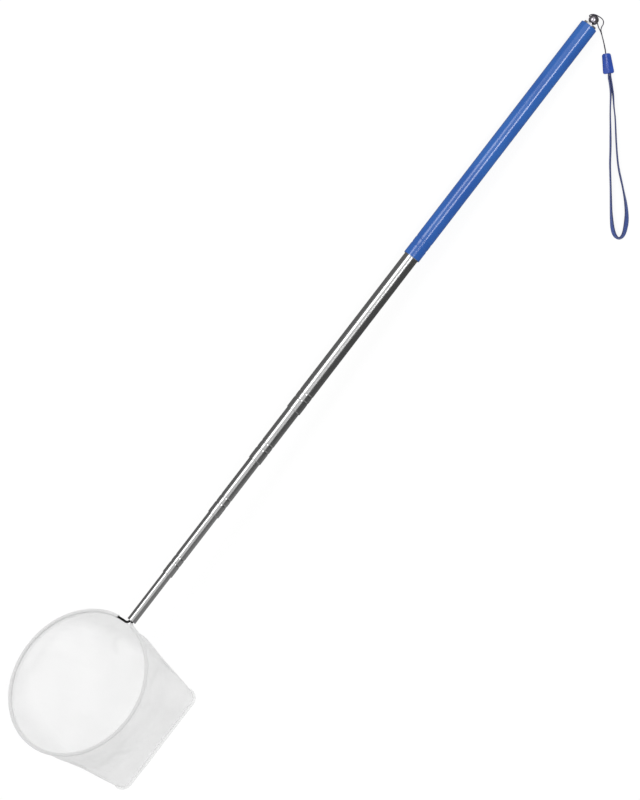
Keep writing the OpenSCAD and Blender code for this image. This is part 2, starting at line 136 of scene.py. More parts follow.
class StrapSettings(PropertyGroup):
    cord: length("Cord", "Diameter of the thin cord", 0.0008)
    webbing: length("Webbing width", "Width of the webbing", 0.0045)
    thickness: length("Webbing thickness", "Thickness of the webbing", 0.0011)
    cord_colour: colour("Cord colour", "Thin dark cord", srgb(30, 26, 40))
    cord_light: colour("Cord light", "Lighter strands of the cord", srgb(52, 47, 66))
    blue: colour("Webbing colour", "Blue webbing", srgb(50, 84, 168))
    # Painted shade: a darker colour on the webbing's two narrow edges, standing in for the shade on its sides
    edge_shade: colour("Webbing edge", "Darker threads along the webbing's two edges", srgb(40, 52, 104))
    blue_dark: colour("Webbing shade", "Gaps of the weave", srgb(29, 42, 92))
    moulded: colour("Connector colour", "Moulded connector", srgb(42, 74, 162))


class StageSettings(PropertyGroup):
    centre: spot("Centre", "Point of the floor below the camera", (-0.00995698, 0.00083775))
    height: length("Camera height", "Height of the camera", 6.0)
    turn: angle("Turn", "Turn of the camera about its view", -52.44199)
    lens: number("Lens", "Focal length in millimetres", 336.575)
    daylight: number("Daylight", "Strength of the even light", 0.85)
    strip: number("Strip", "Radiance of the strip lamps", 4.0)
    dark: colour("Dark panel", "Studio panel that only reflections see", grey(95))
    dim: colour("Dim panel", "Lighter studio panel across the pole", grey(128))


# Materials

SHADOW_LOSS = 0.8


class Wire:
    """An output of a node that takes part in sums, so shader maths reads as plain expressions."""

    def __init__(self, finish, socket):
        self.finish = finish
        self.socket = socket

    def calc(self, operation, first, second=0.0):
        return self.finish.node("ShaderNodeMath", {"operation": operation}, {0: first, 1: second})

    def __add__(self, other):
        return self.calc("ADD", self, other)

    def __sub__(self, other):
        return self.calc("SUBTRACT", self, other)

    def __rsub__(self, other):
        return self.calc("SUBTRACT", other, self)

    def __mul__(self, other):
        return self.calc("MULTIPLY", self, other)

    def __truediv__(self, other):
        return self.calc("DIVIDE", self, other)

    def sine(self):
        return self.calc("SINE", self)

    def size(self):
        return self.calc("ABSOLUTE", self)

    def over(self, other):
        return self.calc("MAXIMUM", self, other)

    def under(self, other):
        return self.calc("MINIMUM", self, other)

    def fade(self, low, high):
        """0 at low, 1 at high and smooth between them."""
        settings = {"interpolation_type": "SMOOTHSTEP"}
        return self.finish.node("ShaderNodeMapRange", settings, {0: self, 1: low, 2: high})


class Finish:
    """One material, or the sky of a world, built from nodes."""

    def __init__(self, name, sky=None):
        self.material = sky or bpy.data.materials.new(name)
        self.material.use_nodes = True
        self.tree = self.material.node_tree
        self.tree.nodes.clear()

    def node(self, kind, settings=None, sockets=None, out=0):
        made = self.tree.nodes.new(kind)
        for name, value in (settings or {}).items():
            setattr(made, name, value)
        for key, value in (sockets or {}).items():
            if isinstance(value, Wire):
                self.tree.links.new(value.socket, made.inputs[key])
            else:
                made.inputs[key].default_value = value
        return None if out is None else Wire(self, made.outputs[out])

    def mixed(self, share, first, second):
        """Colour between two others."""
        ends = [e if isinstance(e, Wire) else (*e, 1.0) for e in (first, second)]
        return self.node("ShaderNodeMix", {"data_type": "RGBA"}, {0: share, 6: ends[0], 7: ends[1]}, out=2)

    def place(self, turn=0.0, stretch=(1.0, 1.0, 1.0)):
        """Object coordinates, turned about the floor's Y axis and stretched."""
        coordinates = self.node("ShaderNodeTexCoord", out=3)
        sockets = {"Vector": coordinates, "Rotation": (0.0, turn, 0.0), "Scale": stretch}
        return self.node("ShaderNodeMapping", {"vector_type": "POINT"}, sockets)

    def uv(self):
        """The piece's own map, as two wires in metres."""
        coordinates = self.node("ShaderNodeUVMap", {"uv_map": "UVMap"})
        split = self.node("ShaderNodeSeparateXYZ", None, {0: coordinates})
        return split, Wire(self, split.socket.node.outputs[1])

    def cloud(self, place, scale, detail=3.0):
        """Soft noise from 0 to 1."""
        return self.node("ShaderNodeTexNoise", None, {"Vector": place, "Scale": scale, "Detail": detail})

    def bump(self, height, depth):
        return self.node("ShaderNodeBump", None, {"Height": height, "Distance": depth, "Strength": 1.0})

    def ray(self, kind):
        """1 for rays of one kind, and 0 for all others."""
        return self.node("ShaderNodeLightPath", out="Is %s Ray" % kind)

    def seen(self):
        """1 for rays that show a thing straight, mirrored or through glass, and 0 for those that light others."""
        return self.ray("Camera").over(self.ray("Glossy")).over(self.ray("Transmission"))

    def veil(self, cover):
        """Alpha of thin cloth: it lets more light through to what lies under it than it shows."""
        return cover * (1 - self.ray("Shadow") * SHADOW_LOSS)

    def skin(self, **sockets):
        """The finished surface, with one value or wire for each named socket."""
        named = {name.replace("_", " ").title(): value for name, value in sockets.items()}
        return self.done(self.node("ShaderNodeBsdfPrincipled", None, named))

    def done(self, surface, output="ShaderNodeOutputMaterial"):
        self.node(output, None, {"Surface": surface}, out=None)
        return self.material


def wear(obj, material):
    """Gives a piece or a CAD node its material."""
    if not obj.data.materials:
        obj.data.materials.append(None)
    for slot in obj.material_slots:
        slot.material = material


# Shapes


def pole_frame():
    """From the pole's own frame, x along the pole from the hoop's middle, to the floor's."""
    pole = bpy.context.scene.net_pole
    move = Matrix.Translation((pole.place[0], pole.place[1], pole.height))
    return move @ Matrix.Rotation(pole.pitch, 4, "Y")


def hoop_frame():
    """From the hoop's own plane, with its middle at y = offset, to the floor's frame."""
    return pole_frame() @ Matrix.Rotation(-bpy.context.scene.net_hoop.tilt, 4, "X")


def put_in_order(bm):
    """Sorts edges and faces by their points, so that every run stores them alike."""
    bm.verts.index_update()
    many = len(bm.verts)

    def rank(part):
        first, second, third = sorted(vert.index for vert in [*part.verts, part.verts[0]])[:3]
        return (first * many + second) * many + third

    bm.edges.sort(key=rank)
    bm.faces.sort(key=rank)


def shown(bm, name, material, body, *replaced):
    """Makes a piece from a bmesh, gives it its material and lets it ride on a body."""
    bmesh.ops.recalc_face_normals(bm, faces=bm.faces)
    for face in bm.faces:
        face.smooth = True
    put_in_order(bm)
    mesh = bpy.data.meshes.new(name)
    bm.to_mesh(mesh)
    bm.free()
    piece = bpy.data.objects.new(name, mesh)
    bpy.context.scene.collection.objects.link(piece)
    wear(piece, material)
    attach(piece, body)
    if replaced:
        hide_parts(*replaced)
    return piece


def smooth_line(points, steps):
    """A smooth line through points, with a number of steps from each to the next."""
    points = [Vector(p) for p in points]
    line = []
    for i in range(len(points) - 1):
        a, b = points[max(0, i - 1)], points[i]
        c, d = points[i + 1], points[min(len(points) - 1, i + 2)]
        for j in range(steps):
            s = j / steps
            curve = 2 * b + (c - a) * s + (2 * a - 5 * b + 4 * c - d) * s**2 + (3 * b - a - 3 * c + d) * s**3
            line.append(0.5 * curve)
    return line + [points[-1]]


def stations(line, upright=None):
    """A frame at each point of a line: z along it, and y near the way that is up."""
    made = []
    up = Vector((0, 0, 1))
    for i, point in enumerate(line):
        ahead = (line[min(i + 1, len(line) - 1)] - line[max(i - 1, 0)]).normalized()
        up = Vector(upright) if upright else up
        side = up.cross(ahead).normalized()
        up = ahead.cross(side).normalized()
        place = Matrix((side, up, ahead)).transposed().to_4x4()
        place.translation = point
        made.append(place)
    return made


def mapped_bmesh():
    """An empty bmesh, and its layers: the map, and how far around and along each point lies."""
    bm = bmesh.new()
    uv = bm.loops.layers.uv.new("UVMap")
    turn = bm.verts.layers.float.new("turn")
    return bm, uv, turn, bm.verts.layers.float.new("run")


def grow(bm, edges):
    """Extrudes edges where they are, and gives the new edges and points."""
    made = bmesh.ops.extrude_edge_only(bm, edges=edges)["geom"]
    points = [g for g in made if isinstance(g, bmesh.types.BMVert)]
    return [g for g in made if isinstance(g, bmesh.types.BMEdge)], points


def sweep(sides, across, high, places, square=1.0):
    """Drags an oval ring, squarer as square falls below 1, through all places, with a map in metres."""
    bm, uv, turn, run = mapped_bmesh()
    ring = bmesh.ops.create_circle(bm, segments=sides, radius=1.0)["verts"]
    for vert in ring:
        x, y = vert.co.xy
        vert.co.x = across * math.copysign(abs(x) ** square, x)
        vert.co.y = high * math.copysign(abs(y) ** square, y)
    around = 0.0
    for i, vert in enumerate(ring):
        vert[turn] = around
        around += (ring[(i + 1) % len(ring)].co - vert.co).length
    edges = first_edges = list(bm.edges)
    bmesh.ops.transform(bm, matrix=places[0], verts=ring)
    gone = 0.0
    for before, after in zip(places, places[1:]):
        edges, moved = grow(bm, edges)
        bmesh.ops.transform(bm, matrix=after @ before.inverted(), verts=moved)
        gone += (after.translation - before.translation).length
        for vert in moved:
            vert[run] = gone
    for face in bm.faces:
        places_around = [loop.vert[turn] for loop in face.loops]
        wraps = max(places_around) - min(places_around) > around / 2
        for loop in face.loops:
            t = loop.vert[turn]
            loop[uv].uv = (loop.vert[run], t + around if wraps and t < around / 2 else t)
    bmesh.ops.holes_fill(bm, edges=first_edges, sides=0)
    bmesh.ops.holes_fill(bm, edges=edges, sides=0)
    return bm


# Strap

BALL = Vector((0.365167, 0.0126353, 0.0))
# In millimetres from the ball's middle: the cord with its height over the floor, the webbing with its lean in degrees
CORD_ROUTE = [
    (-17.1, -25.8, 2.5), (-14.8, -23.6, 2.4), (-12.8, -21.5, 1.3), (-10.9, -19.4, 0.5),
    (-9.0, -17.3, 0.5), (-7.2, -15.1, 0.5), (-5.5, -12.9, 0.7), (-4.1, -10.8, 1.7),
    (-3.1, -8.7, 3.2), (-2.3, -6.8, 4.8), (-1.4, -5.4, 6.2), (0.0, -3.4, 6.9),
    (0.0, 0.0, 6.9), (0.0, 3.2, 6.9), (0.3, 4.5, 7.1), (1.2, 4.7, 7.8), (2.4, 3.9, 8.5),
    (3.5, 2.5, 8.8), (4.2, 0.8, 8.8), (4.5, -1.0, 8.5), (4.7, -2.7, 7.9), (4.8, -4.4, 7.1),
    (4.4, -6.0, 6.3), (3.5, -7.3, 5.6), (2.1, -8.1, 4.9), (0.5, -8.4, 4.4), (-1.0, -8.7, 4.2),
    (-2.5, -9.4, 3.6), (-3.9, -10.9, 2.6), (-5.6, -13.0, 1.6), (-7.3, -15.2, 1.3), (-9.0, -17.4, 1.3),
    (-10.8, -19.5, 1.4), (-12.8, -21.8, 2.2), (-14.9, -23.8, 3.3), (-17.0, -25.9, 3.4),
]
WEBBING_ROUTE = [
    (-25.3, -34.8, 0), (-28.8, -37.5, 6), (-32.1, -41.1, 9), (-35.5, -44.5, 9), (-39.2, -47.6, 8),
    (-43.1, -50.4, 4), (-47.3, -53.4, 1), (-52.7, -57.5, 2), (-59.0, -62.5, 5), (-67.2, -68.9, 10),
    (-74.2, -74.2, 10), (-82.6, -80.3, 9), (-88.9, -85.3, 8), (-97.6, -92.4, 9), (-105.1, -98.4, 13),
    (-112.6, -104.4, 18), (-118.0, -109.1, 28), (-122.7, -113.6, 38), (-126.1, -118.3, 36), (-126.4, -122.6, 16),
    (-123.0, -123.9, 34), (-118.2, -122.6, 46), (-112.1, -119.4, 52), (-106.3, -115.2, 38), (-100.4, -109.7, 26),
    (-96.0, -104.9, 16), (-91.7, -100.0, 12), (-87.5, -95.0, 14), (-83.3, -90.0, 14), (-78.8, -85.3, 12),
    (-72.3, -79.3, 10), (-65.1, -73.0, 9), (-57.7, -66.8, 8), (-51.0, -61.1, 5), (-45.2, -55.5, 0),
    (-41.6, -52.3, -4), (-38.0, -49.1, -8), (-34.6, -45.7, -9), (-31.2, -42.2, -9), (-27.9, -38.7, -6),
    (-24.3, -35.6, 0),
]
CONNECTOR = {
    "place": (-15.0, -24.4), "turn": 224.9, "length": 16.2, "front": 6.9, "back": 9.1, "thick": 5.8,
    "fall": 0.9, "rib": 0.12, "corner": 1.6, "ridge": 0.15, "rim": 0.6,
}


def measured(line):
    return sum((b - a).length for a, b in zip(line, line[1:]))


class NET_OT_strap_cord(Operator):
    """Thin dark cord that passes through the eye of the ball and returns to the connector"""

    bl_idname = "net.strap_cord"
    bl_label = "Strap cord"

    def execute(self, context):
        strap = context.scene.net_strap
        line = smooth_line([BALL + Vector(p) * MM for p in CORD_ROUTE], 6)
        finish = Finish("braided_cord")
        along, around = finish.uv()
        turns = 4 / strap.cord
        left = (along * 2600 + around * turns).sine()
        right = (along * 2600 - around * turns).sine()
        strands = left.over(right).fade(-0.2, 1.0)
        shade = finish.mixed(strands, strap.cord_colour, strap.cord_light)
        finish.skin(base_color=shade, roughness=0.55, normal=finish.bump(strands, 0.00006))
        bm = sweep(12, strap.cord / 2, strap.cord / 2, stations(line))
        piece = shown(bm, "strap_cord_loop", finish.material, "handle", "strap_cord")
        measured(line)
        return {"FINISHED"}


class NET_OT_webbing(Operator):
    """Flat blue wrist loop that lies on its edge"""

    bl_idname = "net.webbing"
    bl_label = "Wrist webbing"

    def execute(self, context):
        strap = context.scene.net_strap
        half, side = strap.webbing / 2, strap.thickness / 2
        points = []
        for i, (x, y, lean) in enumerate(WEBBING_ROUTE):
            angle = math.radians(lean)
            held = max(0.0, 1 - min(i, len(WEBBING_ROUTE) - 1 - i) / 3)
            rest = half * math.cos(angle) + side * abs(math.sin(angle))
            height = rest + (CONNECTOR["thick"] * MM / 2 - rest) * held
            points.append((BALL + Vector((x, y, 0)) * MM + Vector((0, 0, height)), angle))
        line = smooth_line([p for p, _ in points], 6)
        leans = [v.x for v in smooth_line([(angle, 0, 0) for _, angle in points], 6)]
        places = [place @ Matrix.Rotation(-lean, 4, "Z") for place, lean in zip(stations(line, (0, 0, 1)), leans)]
        finish = Finish("blue_webbing")
        along, around = finish.uv()
        rows = (along * 2 * math.pi / 0.0011 + (around * 2 * math.pi / 0.0012).sine() * 1.6).sine()
        columns = (around * 2 * math.pi / 0.0006).sine()
        weave = (rows * 0.6 + columns * 0.4).fade(-0.9, 0.9)
        girth = 1.9 * (strap.webbing + strap.thickness)
        # Painted shade: the webbing's two narrow edges are darkened, standing in for the shade on its sides
        edge = (around * 4 * math.pi / girth + math.pi / 2).sine().fade(0.1, 0.8)
        face = finish.mixed(edge, strap.blue, strap.edge_shade)
        shade = finish.mixed(weave, strap.blue_dark, face)
        finish.skin(base_color=shade, roughness=0.5, normal=finish.bump(weave, 0.00012), sheen_weight=0.2)
        bm = sweep(20, side, half, places, 0.45)
        piece = shown(bm, "wrist_webbing", finish.material, "handle", "strap_webbing")
        measured(line)
        return {"FINISHED"}


class NET_OT_connector(Operator):
    """Tapered plastic connector with a ridge along its middle, and the crimp inside it"""

    bl_idname = "net.connector"
    bl_label = "Connector"

    def execute(self, context):
        strap = context.scene.net_strap
        c = CONNECTOR
        finish = Finish("moulded_blue")
        pits = finish.cloud(finish.place(), 900.0, 2.0)
        broad = finish.cloud(finish.place(), 140.0, 2.0)
        shade = finish.mixed(broad.fade(0.35, 0.7), strap.moulded, [v * 0.82 for v in strap.moulded])
        finish.skin(base_color=shade, roughness=broad * 0.1 + 0.16, normal=finish.bump(pits, 0.00002))
        bm = bmesh.new()
        bmesh.ops.create_cube(bm, size=1.0)
        for side in (-c["rib"], 0.0, c["rib"]):
            every = bm.verts[:] + bm.edges[:] + bm.faces[:]
            bmesh.ops.bisect_plane(bm, geom=every, plane_co=(0, side, 0), plane_no=(0, 1, 0), dist=1e-6)
        for vert in bm.verts:
            x, y, z = vert.co
            ends = c["front"] if x < 0 else c["back"]
            top = 0.5 - 0.5 * min(abs(y), c["rib"]) - c["fall"] * max(abs(y) - c["rib"], 0)
            vert.co = (c["length"] * (x + 0.5), y * ends, c["thick"] * (-0.5 if z < 0 else top))
        upright = [e for e in bm.edges if e.verts[0].co.xy == e.verts[1].co.xy and abs(e.verts[0].co.y) > 2.0]
        self.round(bm, upright, c["corner"], 5)
        for offset, segments, along_roof in ((c["ridge"], 2, True), (c["rim"], 4, False)):
            rounded = []
            for edge in bm.edges:
                flat = [abs(f.normal.z) > 0.7 for f in edge.link_faces]
                bent = edge.calc_face_angle(0.0) > 0.1
                if bent and (all(flat) if along_roof else any(flat) and not all(flat)):
                    rounded.append(edge)
            self.round(bm, rounded, offset, segments)
        bmesh.ops.transform(
            bm, verts=bm.verts,
            matrix=Matrix.Translation(BALL + Vector((*c["place"], c["thick"] / 2)) * MM)
            @ Matrix.Rotation(math.radians(c["turn"]), 4, "Z") @ Matrix.Scale(MM, 4),
        )
        piece = shown(bm, "strap_link", finish.material, "handle", "strap_connector")
        crimp = Finish("crimp_steel")
        scratches = crimp.cloud(crimp.place(stretch=(1.0, 6.0, 6.0)), 700.0, 3.0)
        shade = crimp.mixed(scratches, grey(150), grey(190))
        crimp.skin(base_color=shade, metallic=1.0, roughness=scratches * 0.2 + 0.25)
        wear(nodes["strap_crimp"], crimp.material)
        return {"FINISHED"}

    def round(self, bm, edges, offset, segments):
        bmesh.ops.bevel(bm, geom=edges, offset=offset, segments=segments, profile=0.5, affect="EDGES", material=-1)
        bm.normal_update()


# Pole


def steel(name, tint, rough, lines=1.0):
    """Drawn and polished metal: fine lines along the pole, faint stains and a slightly uneven shine."""
    pitch = bpy.context.scene.net_pole.pitch
    finish = Finish(name)
    drawn = finish.cloud(finish.place(-pitch, (4.0, 1.0, 1.0)), 60.0, 2.0)
    fine = finish.cloud(finish.place(-pitch, (6.0, 900.0, 900.0)), 2.2, 4.0)
    stain = finish.cloud(finish.place(-pitch, (9.0, 60.0, 60.0)), 1.2, 3.0)
    shade = finish.mixed(fine.fade(0.3, 0.75), [v * 0.93 for v in tint], tint)
    shade = finish.mixed(stain.fade(0.6, 0.85) * 0.25, shade, [v * c for v, c in zip(tint, (0.82, 0.80, 0.76))])
    roughness = fine * 0.08 + drawn * 0.05 + stain.fade(0.5, 0.8) * 0.05 + (rough - 0.06)
    normal = finish.bump(fine, 0.000004 * lines)
    return finish.skin(base_color=shade, metallic=1.0, roughness=roughness, normal=normal)


class NET_OT_tubes(Operator):
    """Six polished steel tubes and the sprung rings hidden between them"""

    bl_idname = "net.tubes"
    bl_label = "Tubes"

    def execute(self, context):
        pole = context.scene.net_pole
        tube = steel("polished_tube", pole.steel, 0.18)
        for name in ("handle_tube", "tube_2", "tube_3", "tube_4", "tube_5", "tube_6"):
            wear(nodes[name], tube)
        ring = steel("sprung_brass", pole.brass, 0.35, 3.0)
        for k in range(2, 7):
            wear(nodes["friction_ring_%d" % k], ring)
        wear(nodes["wire_plug"], steel("plain_plug", grey(120), 0.45, 3.0))
        return {"FINISHED"}


class NET_OT_grip(Operator):
    """Glossy blue sleeve shrunk over the handle"""

    bl_idname = "net.grip"
    bl_label = "Grip"

    def execute(self, context):
        pole = context.scene.net_pole
        finish = Finish("shrunk_sleeve")
        drift = finish.cloud(finish.place(-pole.pitch, (1.0, 2.0, 2.0)), 26.0, 3.0)
        streak = finish.cloud(finish.place(-pole.pitch, (10.0, 260.0, 260.0)), 1.4, 3.0)
        pores = finish.cloud(finish.place(), 420.0, 2.0)
        shade = finish.mixed(drift.fade(0.35, 0.7), pole.sleeve, pole.sleeve_dark)
        shade = finish.mixed(streak.fade(0.55, 0.9) * 0.15, shade, [v * 1.2 for v in pole.sleeve])
        relief = drift * 0.7 + pores * 0.02 + streak * 0.05
        roughness = drift * 0.06 + streak * 0.04 + 0.08
        finish.skin(base_color=shade, roughness=roughness, normal=finish.bump(relief, 0.0001), coat_weight=0.2)
        wear(nodes["grip_sleeve"], finish.material)
        return {"FINISHED"}


class NET_OT_ball_end(Operator):
    """Bright collar and dark chromed ball at the grip's end"""

    bl_idname = "net.ball_end"
    bl_label = "Ball end"

    def execute(self, context):
        pole = context.scene.net_pole
        wear(nodes["end_plug"], steel("bright_collar", pole.collar, 0.5, 2.0))
        finish = Finish("dark_chrome")
        smear = finish.cloud(finish.place(), 260.0, 3.0)
        pits = finish.cloud(finish.place(), 1500.0, 2.0)
        shade = finish.mixed(smear.fade(0.35, 0.75), pole.ball, [v * 0.7 for v in pole.ball])
        roughness = smear * 0.05 + 0.17
        finish.skin(base_color=shade, metallic=1.0, roughness=roughness, normal=finish.bump(pits, 0.000003))
        wear(nodes["end_ball"], finish.material)
        return {"FINISHED"}


# Net


class NET_OT_hoop_wire(Operator):
    """Spring wire bent into the hoop, with two straight ends in the last tube"""

    bl_idname = "net.hoop_wire"
    bl_label = "Hoop wire"

    def execute(self, context):
        hoop = context.scene.net_hoop
        tang = (hoop.wire + hoop.tang_gap) / 2
        reach = hoop.radius + hoop.bend
        rises = [tang + hoop.bend - hoop.offset, -tang - hoop.bend - hoop.offset]
        bends = [math.sqrt(reach**2 - rise**2) for rise in rises]
        angles = [math.asin(rise / reach) for rise in rises]
        bm = bmesh.new()
        ring = bmesh.ops.create_circle(bm, segments=20, radius=hoop.wire / 2)["verts"]
        start = Matrix.Translation((hoop.tang_end, tang, 0)) @ Matrix.Rotation(math.radians(90), 4, "Y")
        bmesh.ops.transform(bm, matrix=start, verts=ring)
        edges = list(bm.edges)

        def straight(edges, shift):
            edges, moved = grow(bm, edges)
            bmesh.ops.translate(bm, vec=shift, verts=moved)
            return edges

        def bend(edges, centre, angle, steps):
            spun = bmesh.ops.spin(
                bm, geom=edges, cent=centre, axis=(0, 0, 1), angle=angle, steps=steps,
                use_merge=False, use_duplicate=False,
            )
            return [g for g in spun["geom_last"] if isinstance(g, bmesh.types.BMEdge)]

        edges = straight(edges, (bends[0] - hoop.tang_end, 0, 0))
        edges = bend(edges, (bends[0], tang + hoop.bend, 0), -(math.pi / 2 - angles[0]), 10)
        edges = bend(edges, (0, hoop.offset, 0), 2 * math.pi + angles[1] - angles[0], 150)
        edges = bend(edges, (bends[1], -tang - hoop.bend, 0), -(math.pi / 2 + angles[1]), 10)
        straight(edges, (hoop.tang_end - bends[1], 0, 0))
        bmesh.ops.remove_doubles(bm, verts=bm.verts, dist=1e-7)
        bmesh.ops.holes_fill(bm, edges=[e for e in bm.edges if e.is_boundary], sides=0)
        bmesh.ops.transform(bm, matrix=hoop_frame(), verts=bm.verts)
        finish = Finish("spring_wire")
        drawn = finish.cloud(finish.place(), 500.0, 3.0)
        shade = finish.mixed(drawn.fade(0.35, 0.7), hoop.metal, [v * 0.6 for v in hoop.metal])
        roughness = drawn * 0.15 + 0.25
        finish.skin(base_color=shade, metallic=1.0, roughness=roughness, normal=finish.bump(drawn, 0.00001))
        piece = shown(bm, "bent_wire", finish.material, "head", "hoop_wire")
        return {"FINISHED"}


def woven(name, tint, shade_tint, pitch, depth, cover):
    """Closely woven tape, with its threads along the piece's own map."""
    finish = Finish(name)
    along, around = finish.uv()
    one = (along * 2 * math.pi / pitch).sine()
    two = (around * 2 * math.pi / pitch).sine()
    threads = (one * 0.5 + two * 0.5).fade(-0.8, 0.8)
    wear_mask = finish.cloud(finish.place(), 90.0, 3.0)
    shade = finish.mixed(threads, shade_tint, tint)
    shade = finish.mixed(wear_mask.fade(0.45, 0.8) * 0.35, shade, [v * 0.88 for v in tint])
    thin, thick = cover
    alpha = finish.veil(threads * (thick - thin) + thin)
    normal = finish.bump(threads + wear_mask, depth)
    return finish.skin(base_color=shade, roughness=0.8, alpha=alpha, normal=normal, sheen_weight=0.15)


def hem_way(hoop, steps):
    """Points of the hem in the hoop's plane, round the rim and on to the neck, each with its outward turn."""
    drop = -(hoop.wire + hoop.tang_gap) / 2 - hoop.bend
    reach = hoop.radius + hoop.bend
    last = math.asin((drop - hoop.offset) / reach)
    bend = Vector((reach * math.cos(last), drop, 0))
    way = []
    for i in range(steps + 1):
        t = hoop.hem_start + (2 * math.pi + last - hoop.hem_start) * i / steps
        way.append((Vector((hoop.radius * math.cos(t), hoop.offset + hoop.radius * math.sin(t), 0)), t))
    for i in range(1, 9):
        t = last - hoop.hem_neck * i / 8
        way.append((bend - Vector((math.cos(t), math.sin(t), 0)) * hoop.bend, t))
    return way


class NET_OT_hem(Operator):
    """Hem of folded mesh around the wire, with its row of stitches"""

    bl_idname = "net.hem"
    bl_label = "Hem"

    def execute(self, context):
        hoop = context.scene.net_hoop
        dark = [v * 0.8 for v in hoop.tape]
        material = woven("hem_tape", hoop.tape, dark, 0.0006, 0.00008, (0.72, 0.95))
        way = hem_way(hoop, 240)
        places = []
        outer = (hoop.hem_room - hoop.hem) / 2
        for i, (point, turn) in enumerate(way):
            swell = 1 + 0.07 * noise.noise(Vector((turn * 9, 0, 3))) - 0.12 * max(0, 1 - min(i, len(way) - 1 - i) / 5)
            out = Matrix.Translation((outer + 0.0001 * noise.noise(Vector((turn * 14, 5, 1))), 0, 0))
            at = Matrix.Translation(point) @ Matrix.Rotation(turn, 4, "Z") @ out
            places.append(hoop_frame() @ at @ Matrix.Rotation(math.radians(-90), 4, "X") @ Matrix.Scale(swell, 4))
        flat = 0.94
        bm = sweep(18, hoop.hem / 2, hoop.hem / 2 * flat, places)
        piece = shown(bm, "rim_hem", material, "head", "net_hem")
        bm = bmesh.new()
        up = math.radians(50)
        for point, turn in hem_way(hoop, 190)[:190]:
            spot = hoop_frame() @ Matrix.Translation(point) @ Matrix.Rotation(turn, 4, "Z")
            above = (outer - math.cos(up) * hoop.hem / 2, 0, math.sin(up) * hoop.hem / 2 * flat)
            spot = spot @ Matrix.Translation(above)
            stitch = bmesh.ops.create_icosphere(bm, subdivisions=1, radius=1.0)["verts"]
            slant = Matrix.Rotation(math.radians(24), 4, "Z") @ Matrix.Diagonal((0.00014, 0.0005, 0.00014, 1.0))
            bmesh.ops.transform(bm, matrix=spot @ slant, verts=stitch)
        row = shown(bm, "hem_stitches", thread_material("hem_thread", 205, 240), "head")
        return {"FINISHED"}


def thread_material(name, dull, bright):
    finish = Finish(name)
    twist = finish.cloud(finish.place(), 2400.0, 2.0)
    return finish.skin(base_color=finish.mixed(twist, grey(dull), grey(bright)), roughness=0.6)


def mesh_material(bag):
    """Fine white net: threads both ways with open holes between them."""
    finish = Finish("fine_mesh")
    across, down = finish.uv()
    half = math.pi / bag.pitch
    wander = finish.cloud(finish.place(), 220.0, 2.0)
    one = (across * half + wander * 1.2).sine().size()
    two = (down * half + wander * 1.2).sine().size()
    threads = 1 - one.under(two)
    edge = finish.cloud(finish.place(), 160.0, 1.0) * 0.003 + down
    turned_in = 1 - edge.fade(0.0102, 0.0112)
    painted_fold_shade = finish.node("ShaderNodeAttribute", {"attribute_name": "shade_in_folds"}, out=2)
    pulled = finish.node("ShaderNodeCombineXYZ", None, {0: across, 1: down * 0.2})
    drawn = finish.cloud(pulled, 70.0, 2.0).fade(0.35, 0.75)
    in_seam = down.fade(0.1266, 0.1277)
    cover = (threads.fade(0.46, 0.7) * 0.8 + 0.16 + turned_in * 0.1 + drawn * 0.06) * (1 - in_seam * 0.7)
    light = finish.cloud(finish.place(), 40.0, 2.0)
    shade = finish.mixed(light.fade(0.3, 0.7), bag.thread, [v * 0.95 for v in bag.thread])
    # Painted shade: the thread colour darkens where the folds carry their painted shade
    shade = finish.mixed(painted_fold_shade * 0.4, shade, [v * 0.55 for v in bag.thread])
    alpha = finish.veil(cover)
    return finish.skin(
        base_color=shade, roughness=0.7, alpha=alpha, normal=finish.bump(threads, 0.0001), sheen_weight=0.1
    )


# Folds pressed in the fallen cloth, in millimetres: height, half width, painted shade (0 to 1) that darkens the
# thread colour along the fold, points from the hoop's middle
LOW_FOLDS = [
    (0.15, 4.2, 0.75, [(53.7, -5.5), (49.6, -1.5), (44.8, 0.8), (40.4, -0.0), (36.7, -4.4), (35.6, -8.2)]),
    (0.1, 8.0, 0.4, [(46.3, 12.1), (50.2, 3.0), (52.9, -7.1), (50.4, -17.0)]),
    (0.3, 5.0, 0.4, [
        (36.1, 34.5), (26.4, 39.2), (17.1, 42.1), (5.8, 42.5),
        (-6.4, 41.2), (-17.9, 40.4), (-28.4, 38.4), (-38.8, 33.5),
    ]),
]
HIGH_FOLDS = [
    (0.6, 3.5, 0.5, [(-48.4, -48.0), (-34.1, -52.4), (-18.1, -53.2), (1.4, -55.7)]),
    (0.5, 3.5, 0.45, [(15.2, -50.8), (27.8, -44.3), (45.8, -39.3), (52.3, -37.8)]),
    (0.4, 2.2, 0.8, [(-31.4, -51.5), (-26.6, -56.0), (-19.4, -63.0)]),
    # Mostly painted shadow: a faint wide fold along the outside of the rim, darkened where the rim shades the cloth
    (0.1, 5.0, 0.45, [(42.1, -32.5), (26.7, -41.3), (5.4, -47.6), (-18.6, -47.9), (-41.1, -41.0), (-59.8, -27.1)]),
]


